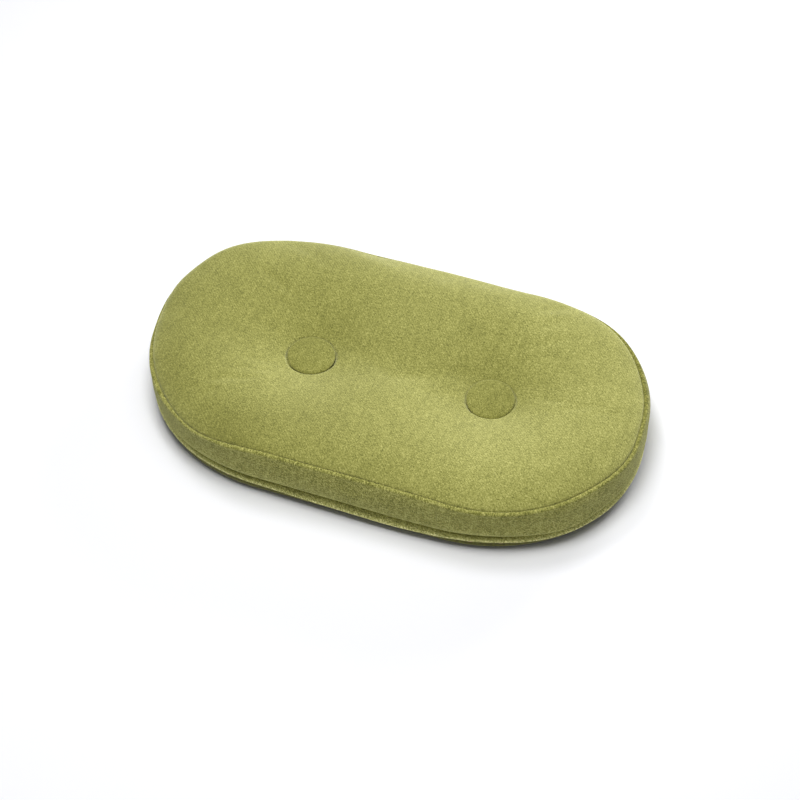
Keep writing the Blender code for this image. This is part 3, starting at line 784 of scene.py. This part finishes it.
def make_panel():
    """The top panel: its edge dips into the seam, and it is drawn down under both buttons."""
    depth = (VALLEY[1] - 0.22 * MM * pucker) * sunk
    rolled = [
        from_seam(-2.0 * MM, -5.5 * MM),
        from_seam(-1.9 * MM, -2.5 * MM),
        from_seam(VALLEY[0] - 0.25 * MM, depth),
    ]
    spans = [(0.42, 4, 16), (4.4, 22.4, 43), (22.6, 25.6, 19), (25.9, 29, 8)]
    top = stuffed(ROW_SEAM + np.concatenate([np.linspace(*span) for span in spans]))
    inside = np.linalg.norm((top - seam_line)[..., :2], axis=-1)
    dip = np.exp(-np.maximum(inside - 1.5 * MM, 0) / (1.9 * MM))
    top[..., 2] += dip * (depth * 0.95) - 0.10 * MM * pucker * np.exp(-inside / (4 * MM))
    outer = np.concatenate([np.stack(rolled), top])
    inner = stuffed(ROW_SEAM + np.array([29, 26, 24, 22, 20, 17, 14, 11, 8, 5, 3, 1.6]))
    inner[..., 2] -= CLOTH
    tip = np.stack([from_seam(-3.4 * MM, -3.2 * MM), from_seam(-3.3 * MM, -5.5 * MM)])
    loop = np.concatenate([outer, inner, tip])
    count = loop.shape[1]
    faces = ring_faces(len(loop), count, closed=True)
    # The outer and inner faces each close along the spine, so no faces join their last rows.
    spine = len(outer) - 1
    faces = [f for f in faces if not (f[0] // count == spine and f[3] // count == spine + 1)]
    # Painted light and shade on the panel.
    painted_light = painted_patches(loop, PANEL_PAINTED_LIGHT).ravel()
    mesh = mesh_from("top_panel", loop.reshape(-1, 3), faces, loop[..., :2].reshape(-1, 2), painted_light)
    weld(mesh, WELD)
    return mesh


def add_piece(name, mesh, look, node):
    """A visible piece on the one body, standing for a CAD node."""
    made = add_object(name, mesh)
    made.data.materials.append(look)
    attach(made, "root")
    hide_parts(node)
    return made


cover_cloth = velour("velour_panel", contrast=1.15)
band_cloth = velour("velour_band", shift=(0.31, 0.17, 0), tone=1.0, contrast=2.0, sheen=0.22)

cushion_top = add_piece("cushion_top", make_panel(), cover_cloth, "top_panel")
cushion_band = add_piece("cushion_band", make_band(), band_cloth, "side_band")


# ---------------------------------------------------------------- filling

# The foam's share of the height, and how far its sides stay inside the band.
FOAM_SHARE = 0.6
FOAM_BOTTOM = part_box("foam_core")[0].z
FOAM_GAP = 2.4 * MM


def close_rows(name, rows):
    """A closed body from a loop of rows whose first and last rows run along the spine."""
    loop = np.stack(rows)
    faces = ring_faces(len(loop), loop.shape[1])
    mesh = mesh_from(name, loop.reshape(-1, 3), faces, loop[..., :2].reshape(-1, 2))
    weld(mesh, WELD)
    return mesh


def foam_height(cover):
    """Height of the foam's top under this height of the cover."""
    return FOAM_BOTTOM + FOAM_SHARE * (cover - FOAM_BOTTOM)


def make_foam():
    """The foam block: flat below, its sides inside the band and its top under the wadding."""
    sides = stuffed(ROW_FACE + np.array([1.6, 2.6, 3.6, 4.4])) - edge * FOAM_GAP
    top = stuffed(ROW_SEAM + np.array([1.4, *range(3, 30, 2)]))
    top[..., 2] = foam_height(top[..., 2])
    foot = sides[0].copy()
    foot[:, 2] = FOAM_BOTTOM
    middle_row = top[-1].copy()
    middle_row[:, 2] = FOAM_BOTTOM
    return close_rows("foam_block", [middle_row, foot, *sides, *top])


def make_wadding():
    """The wadding between the foam and the top panel."""
    steps = [1.6, *range(3, 22, 2), *np.linspace(22, 26, 15), 27, 29]
    cover = stuffed(ROW_SEAM + np.array(steps))
    under = cover.copy()
    under[..., 2] = foam_height(cover[..., 2]) + 0.3 * MM
    over = cover.copy()
    over[..., 2] = np.maximum(cover[..., 2] - 2.2 * MM, under[..., 2] + 0.4 * MM)
    return close_rows("wadding_layer", [*under[::-1], *over])


def fibre_material(name, dark, light, scale, rough):
    """Foam or wadding: small cells with a mottled tone."""
    made = Nodes(name)
    place = made.add("TexCoord").outputs["Object"]
    cells = made.add("TexVoronoi", {"Vector": place, "Scale": scale}).outputs["Distance"]
    mottle = made.noise(place, scale / 12, 4, 0.6)
    value = made.math("ADD", made.math("MULTIPLY", cells, 0.7), made.math("MULTIPLY", mottle, 0.5))
    colour = made.ramp(value, [(0.15, dark), (0.75, light)])
    bump = made.add("Bump", {"Height": value, "Strength": 0.5, "Distance": 0.5 * MM})
    return made.finish(Base_Color=colour, Roughness=rough, Normal=bump.outputs["Normal"])


foam_look = fibre_material("open_cell_foam", (0.55, 0.45, 0.22), (0.80, 0.72, 0.45), 900, 0.95)
wadding_look = fibre_material("white_wadding", (0.62, 0.62, 0.60), (0.86, 0.86, 0.84), 500, 1.0)
foam_block = add_piece("foam_block", make_foam(), foam_look, "foam_core")
wadding = add_piece("wadding_layer", make_wadding(), wadding_look, "padding_layer")


# ---------------------------------------------------------------- buttons

# How far each button leans towards the front, in degrees, and how high its rim lies over its seat.
BUTTON_LEAN = {"left": (2.0, 3.9 * MM), "right": (5.0, 2.6 * MM)}
# Painted light and shade across each button, standing in for how its dome is lit: its middle
# value and how it changes from left to right.
BUTTON_PAINTED_LIGHT = {"left": (0.95, 0.07), "right": (0.95, -0.07)}
# Painted shade where the cloth turns under the rim: how much darker, and from which height it
# darkens.
UNDER_SHADE = 0.65
UNDER_START = 1.2 * MM


def spun(name, profile, painted_shading, steps=96):
    """A body turned round the upright axis from (radius, height) points, with painted light and
    shade.
    """
    turns = math.tau * np.arange(steps) / steps
    radius = np.array([r for r, _ in profile])[:, None]
    height = np.array([h for _, h in profile])[:, None]
    x = radius * np.cos(turns)
    y = radius * np.sin(turns)
    z = np.broadcast_to(height, x.shape)
    points = np.stack([x, y, z], -1)
    lengths = np.hypot(np.diff(radius[:, 0]), np.diff(height[:, 0]))
    run = np.concatenate([[0], np.cumsum(lengths)])[:, None]
    weave = np.stack([run * np.cos(turns), run * np.sin(turns)], -1)
    faces = ring_faces(len(profile), steps)
    # Painted shade under the rim, times the painted light and shade across the button.
    under = np.clip(1 - height / UNDER_START, 0, 1)
    painted_light = (painted_shading[0] + painted_shading[1] * x / BUTTON_RADIUS) * (1 - UNDER_SHADE * under)
    mesh = mesh_from(name, points.reshape(-1, 3), faces, weave.reshape(-1, 2), painted_light.ravel())
    weld(mesh, WELD / 2)
    return mesh


def button_profile():
    """The covered button in section, over its rim: low dome, rounded edge, cloth tucked under."""
    flat, rim, half = 17.4, 2.6, 2.2
    points = []
    for share in np.arange(13) / 12:
        points.append((flat * share, half + 1.0 - share**2.2))
    for share in np.arange(1, 15) / 14:
        turn = math.pi * 0.85 * share
        points.append((flat + rim * math.sin(turn), half * math.cos(turn)))
    points += [(16.0, -half), (13.0, -half), (13.0, -1.4), (18.2, -1.2), (18.4, -0.2)]
    points += [(17.0, 1.2), (0, 2.3)]
    return [(radius * MM, height * MM) for radius, height in points]


def lean(mesh, angle, place):
    """Turn a button's body over to face forwards, about its own rim."""
    turn = Matrix.Rotation(math.radians(angle), 4, Vector((math.cos(FRONT), math.sin(FRONT), 0)))
    mesh.transform(Matrix.Translation(place) @ turn)


def add_button(number, side, spot):
    """One covered button, on its seat and leaning forwards."""
    tilt, rise = BUTTON_LEAN[side]
    mesh = spun(f"button_{side}", button_profile(), BUTTON_PAINTED_LIGHT[side])
    lean(mesh, tilt, Vector((spot.x, spot.y, BUTTON_SEAT + rise)))
    shift = (0.5 + number, 0.2, 0)
    look = velour(f"velour_button_{side}", turn=0.3 * number, shift=shift, tone=0.94, sheen=0.35)
    node = f"button_cover_{side}"
    button = add_piece(f"button_dome_{side}", mesh, look, node)


for number, (side, spot) in enumerate(TUFTS.items()):
    add_button(number, side, spot)


# ---------------------------------------------------------------- base strip and dust cover


def make_base_strip():
    """The cloth strip that wraps the base board's edge, with its lip under the band."""
    low, high = wrap_low.z, wrap_high.z
    outer = strip_rows(fine_cols)
    inner = []
    for inset, height in [
        (29 * MM, low + CLOTH),
        (9 * MM, low + CLOTH),
        (5 * MM, low + 5 * MM),
        (5 * MM, high - 5 * MM),
        (9 * MM, high - CLOTH),
        (29 * MM, high - CLOTH),
    ]:
        row = at_inset(fine_cols, inset)
        inner.append(np.column_stack([row, np.full(len(row), height)]))
    loop = np.concatenate([outer, np.stack(inner)])
    # Painted light and shade from the section; the hidden rows inside get painted shade.
    painted_light = [painted_shading for *_, painted_shading in STRIP_SECTION] + [0.5] * len(inner)
    mesh = mesh_from(
        "base_strip",
        loop.reshape(-1, 3),
        ring_faces(len(loop), loop.shape[1], closed=True),
        round_weave(loop),
        np.repeat(painted_light, loop.shape[1]),
    )
    weld(mesh, WELD / 2)
    return mesh


strip_shift = (0.7, 0.9, 0)
# The strip's copy of the cloth is painted lighter all over, painted light on its shaded lip.
strip_cloth = velour("velour_strip", 0.09, strip_shift, tone=1.12, contrast=2.0, sheen=0.4)
add_piece("base_strip", make_base_strip(), strip_cloth, "base_wrap")

# The dust cover's edge lies this far inside the pad's. It hangs down this much at most, less
# near its staples and its feet. Its triangles are about this wide.
DUST_INSET = cad_high.x - dust_high.x
DUST_SAG = 0.7 * MM
DUST_STEP = 6 * MM


def sag(x, y, feet):
    """How far the dust cover hangs down between its staples and its feet."""
    inside = np.clip((edge_distance(x, y) - 26 * MM) / (40 * MM), 0, 1)
    away = np.min([np.hypot(x - foot.x, y - foot.y) for foot in feet], 0)
    free = np.clip((away - 16 * MM) / (30 * MM), 0, 1)
    ripple = 0.5 + 0.3 * np.sin(x / (9 * MM)) * np.sin(y / (14 * MM))
    ripple = ripple + 0.2 * np.sin((x + y) / (21 * MM))
    return DUST_SAG * inside * free * ripple


def make_dust_cover():
    """The thin cloth under the base: a flat cut with a hole for each foot, hanging a little."""
    feet = [middle(f"foot_{number}") for number in range(1, 5)]
    foot_low, foot_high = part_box("foot_1")
    hole = (foot_high.x - foot_low.x) / 2 + 0.4 * MM
    rim = at_inset(fine_cols, DUST_INSET)[::4]
    loops = [[Vector(point) for point in rim]]
    turns = math.tau * np.arange(48) / 48
    for foot in feet:
        circle = [(foot.x + hole * math.cos(t), foot.y + hole * math.sin(t)) for t in turns]
        loops.append([Vector(point) for point in circle])
    points, edges = [], []
    for loop in loops:
        start = len(points)
        points += loop
        edges += [(start + i, start + (i + 1) % len(loop)) for i in range(len(loop))]
    for x in np.arange(-0.195, 0.196, DUST_STEP):
        for y in np.arange(-0.111, 0.112, DUST_STEP):
            near = min(math.hypot(x - foot.x, y - foot.y) for foot in feet)
            if edge_distance(x, y) > DUST_INSET + 5 * MM and near > hole + 3 * MM:
                points.append(Vector((x, y)))
    flat, _, triangles, *_ = delaunay_2d_cdt(points, edges, [], 0, 1e-7)
    flat = np.array([tuple(point) for point in flat])
    kept = []
    for triangle in triangles:
        x, y = flat[list(triangle)].mean(0)
        if min(math.hypot(x - foot.x, y - foot.y) for foot in feet) > hole * 0.98:
            kept.append(triangle)
    drop = sag(flat[:, 0], flat[:, 1], feet)
    count = len(flat)
    over = np.column_stack([flat, dust_high.z - drop])
    under = np.column_stack([flat, dust_low.z - drop])
    faces = [tuple(face) for face in kept]
    faces += [tuple(count + i for i in reversed(face)) for face in kept]
    sides = {}
    for face in kept:
        for first, second in zip(face, face[1:] + face[:1]):
            sides[first, second] = True
    # A side that only one triangle has lies on an edge: close it between the two layers.
    for first, second in sides:
        if (second, first) not in sides:
            faces.append((second, first, count + first, count + second))
    used = np.unique([corner for face in faces for corner in face])
    place = np.full(2 * count, -1)
    place[used] = np.arange(len(used))
    faces = [tuple(int(place[corner]) for corner in face) for face in faces]
    points = np.concatenate([over, under])[used]
    mesh = mesh_from("dust_sheet", points, faces, points[:, :2])
    weld(mesh, WELD / 10)
    return mesh


def nonwoven(name):
    """Thin black non-woven cloth with its pressed dots."""
    made = Nodes(name)
    place = made.add("UVMap", uv_map="weave").outputs["UV"]
    spots = {"Vector": place, "Scale": 650, "Randomness": 0.15}
    dots = made.add("TexVoronoi", spots).outputs["Distance"]
    fibres = made.noise(made.stretch(place, (900, 260, 500)), 1, 4, 0.7, 1.5)
    value = made.math("MULTIPLY_ADD", dots, 0.6, made.math("MULTIPLY", fibres, 0.6))
    colour = made.ramp(value, [(0.2, (0.012, 0.012, 0.013)), (0.8, (0.055, 0.055, 0.058))])
    bump = made.add("Bump", {"Height": value, "Strength": 0.5, "Distance": 0.15 * MM})
    return made.finish(Base_Color=colour, Roughness=0.85, Normal=bump.outputs["Normal"])


dust_look = nonwoven("nonwoven_cloth")
dust_sheet = add_piece("dust_sheet", make_dust_cover(), dust_look, "dust_cover")


# ---------------------------------------------------------------- looks of the CAD parts


def plywood(name):
    """Sanded birch ply: long grain on the faces and thin layers round the edge."""
    made = Nodes(name)
    place = made.add("TexCoord").outputs["Object"]
    grain = made.noise(made.stretch(place, (18, 260, 60)), 1, 5, 0.6, 0.6)
    figure = made.noise(made.stretch(place, (5, 30, 5)), 1, 3, 0.5, 1.0)
    height = made.add("SeparateXYZ", {"Vector": place}).outputs["Z"]
    layers = made.math("SINE", made.math("MULTIPLY", height, math.tau / (2.8 * MM)))
    value = made.math("MULTIPLY_ADD", grain, 0.6, made.math("MULTIPLY", figure, 0.4))
    value = made.math("MULTIPLY_ADD", layers, 0.10, value)
    colour = made.ramp(value, [(0.25, (0.42, 0.27, 0.13)), (0.75, (0.70, 0.53, 0.33))])
    bump = made.add("Bump", {"Height": grain, "Strength": 0.25, "Distance": 0.3 * MM})
    return made.finish(Base_Color=colour, Roughness=0.62, Normal=bump.outputs["Normal"])


def plated(name, dark, light, rough, scale):
    """Bare or plated metal, with small scratches and dull patches."""
    made = Nodes(name)
    place = made.add("TexCoord").outputs["Object"]
    scratch = made.noise(made.stretch(place, (scale, scale / 6, scale)), 1, 4, 0.7)
    patch = made.noise(place, 90, 3, 0.6)
    value = made.math("MULTIPLY_ADD", scratch, 0.5, made.math("MULTIPLY", patch, 0.5))
    colour = made.ramp(value, [(0.3, dark), (0.7, light)])
    bump = made.add("Bump", {"Height": scratch, "Strength": 0.15, "Distance": 0.05 * MM})
    roughness = made.math("MULTIPLY_ADD", patch, 0.3, rough - 0.15)
    return made.finish(
        Base_Color=colour,
        Metallic=1.0,
        Roughness=roughness,
        Normal=bump.outputs["Normal"],
    )


def moulded(name, dark, light, rough):
    """Rubber or plastic with a fine moulded grain."""
    made = Nodes(name)
    place = made.add("TexCoord").outputs["Object"]
    grain = made.noise(place, 1400, 3, 0.6)
    patch = made.noise(place, 110, 3, 0.6)
    value = made.math("MULTIPLY_ADD", grain, 0.4, made.math("MULTIPLY", patch, 0.6))
    colour = made.ramp(value, [(0.3, dark), (0.7, light)])
    bump = made.add("Bump", {"Height": grain, "Strength": 0.3, "Distance": 0.08 * MM})
    return made.finish(Base_Color=colour, Roughness=rough, Normal=bump.outputs["Normal"])


def twisted(name):
    """Waxed twine: strands that wind round an upright thread."""
    made = Nodes(name)
    place = made.add("TexCoord").outputs["Object"]
    split = made.add("SeparateXYZ", {"Vector": place})
    across = made.math("ADD", split.outputs["X"], split.outputs["Y"])
    slant = made.math("MULTIPLY", across, 2600)
    phase = made.math("MULTIPLY_ADD", split.outputs["Z"], math.tau / (1.6 * MM), slant)
    strand = made.math("MULTIPLY_ADD", made.math("SINE", phase), 0.5, 0.5)
    fuzz = made.noise(place, 1800, 3, 0.6)
    value = made.math("MULTIPLY_ADD", strand, 0.7, made.math("MULTIPLY", fuzz, 0.3))
    colour = made.ramp(value, [(0.1, (0.45, 0.40, 0.28)), (0.8, (0.80, 0.76, 0.62))])
    bump = made.add("Bump", {"Height": strand, "Strength": 0.5, "Distance": 0.2 * MM})
    return made.finish(Base_Color=colour, Roughness=0.5, Normal=bump.outputs["Normal"])


# Each CAD node that shows as it is gets the first look whose key its name starts with.
ply_look = plywood("birch_plywood")
zinc_look = plated("bright_zinc", (0.42, 0.43, 0.45), (0.70, 0.71, 0.73), 0.38, 1500)
CAD_LOOKS = {
    "seat_board": ply_look,
    "base_board": ply_look,
    "button_back": zinc_look,
    "foot_washer": zinc_look,
    "foot_screw": zinc_look,
    "tee_nut": zinc_look,
    "staple": zinc_look,
    "button_shell": plated("pressed_aluminium", (0.58, 0.59, 0.60), (0.80, 0.81, 0.82), 0.42, 900),
    "foot_": moulded("black_rubber", (0.012, 0.012, 0.012), (0.045, 0.045, 0.045), 0.75),
    "twine_anchor": moulded("natural_nylon", (0.66, 0.66, 0.60), (0.82, 0.82, 0.77), 0.45),
    "tufting_twine": twisted("waxed_twine_thread"),
}
for node_name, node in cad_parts.items():
    for start, look in CAD_LOOKS.items():
        if node_name.startswith(start):
            node.data.materials.clear()
            node.data.materials.append(look)
            break


# ---------------------------------------------------------------- studio


def floor_material():
    """White paper with the faintest mottle."""
    made = Nodes("paper_floor")
    place = made.add("TexCoord").outputs["Object"]
    mottle = made.noise(place, 6, 2)
    colour = made.ramp(mottle, [(0, (0.92, 0.925, 0.965)), (1, (0.94, 0.945, 0.985))])
    return made.finish(Base_Color=colour, Roughness=0.9, Specular_IOR_Level=0.1)


def make_floor():
    """A wide plain floor under the pad."""
    half = 4.0
    corners = [(-half, -half, 0), (half, -half, 0), (half, half, 0), (-half, half, 0)]
    floor = add_object("floor", mesh_from("floor", corners, [(0, 1, 2, 3)]))
    floor.data.materials.append(floor_material())


# Softboxes: azimuth from +Y towards +X and height, in degrees, distance, size and power.
LIGHTS = [
    ("overhead", 180, 80, 1.6, 0.6, 12.7),
    ("ceiling", 0, 90, 1.6, 1.6, 7.9),
    ("low_back", 20, 15, 1.3, 0.6, 10.7),
    ("high_left", -60, 70, 1.6, 0.5, 5.5),
]
WORLD_LIGHT = 0.15


def add_softbox(name, place, size, power):
    """A round white lamp that faces the pad."""
    lamp = bpy.data.lights.new(name, "AREA")
    lamp.shape = "DISK"
    lamp.size = size
    lamp.energy = power
    made = add_object(name, lamp)
    made.location = place
    made.rotation_euler = (-Vector(place)).to_track_quat("-Z", "Y").to_euler()


def make_lights():
    """The softboxes and a little light from all round."""
    world = bpy.data.worlds.new("studio")
    world.use_nodes = True
    background = world.node_tree.nodes["Background"]
    background.inputs["Color"].default_value = (1, 1, 1, 1)
    background.inputs["Strength"].default_value = WORLD_LIGHT
    bpy.context.scene.world = world
    for name, azimuth, elevation, distance, size, power in LIGHTS:
        turn, rise = math.radians(azimuth), math.radians(elevation)
        reach = distance * math.cos(rise)
        place = (reach * math.sin(turn), reach * math.cos(turn), distance * math.sin(rise))
        add_softbox(name, place, size, power)


# The camera stands at the front right, in degrees round from -Y and up, and looks at a point
# half way up the pad.
CAMERA_AZIMUTH, CAMERA_ELEVATION = 19.71, 48.44
CAMERA_DISTANCE = 2.2
CAMERA_TARGET = Vector((0, 0, 0.025))
CAMERA_LENS = 120.9
CAMERA_SENSOR = 36
CAMERA_SHIFT = (0.0034875, -0.013375)


def make_camera():
    """The one camera."""
    azimuth, elevation = math.radians(CAMERA_AZIMUTH), math.radians(CAMERA_ELEVATION)
    back = Vector(
        (
            math.sin(azimuth) * math.cos(elevation),
            -math.cos(azimuth) * math.cos(elevation),
            math.sin(elevation),
        )
    )
    data = bpy.data.cameras.new("camera")
    data.lens = CAMERA_LENS
    data.sensor_width = CAMERA_SENSOR
    data.shift_x, data.shift_y = CAMERA_SHIFT
    camera = add_object("camera", data)
    camera.location = CAMERA_TARGET + back * CAMERA_DISTANCE
    camera.rotation_euler = (-back).to_track_quat("-Z", "Y").to_euler()
    bpy.context.scene.camera = camera


make_floor()
make_lights()
make_camera()
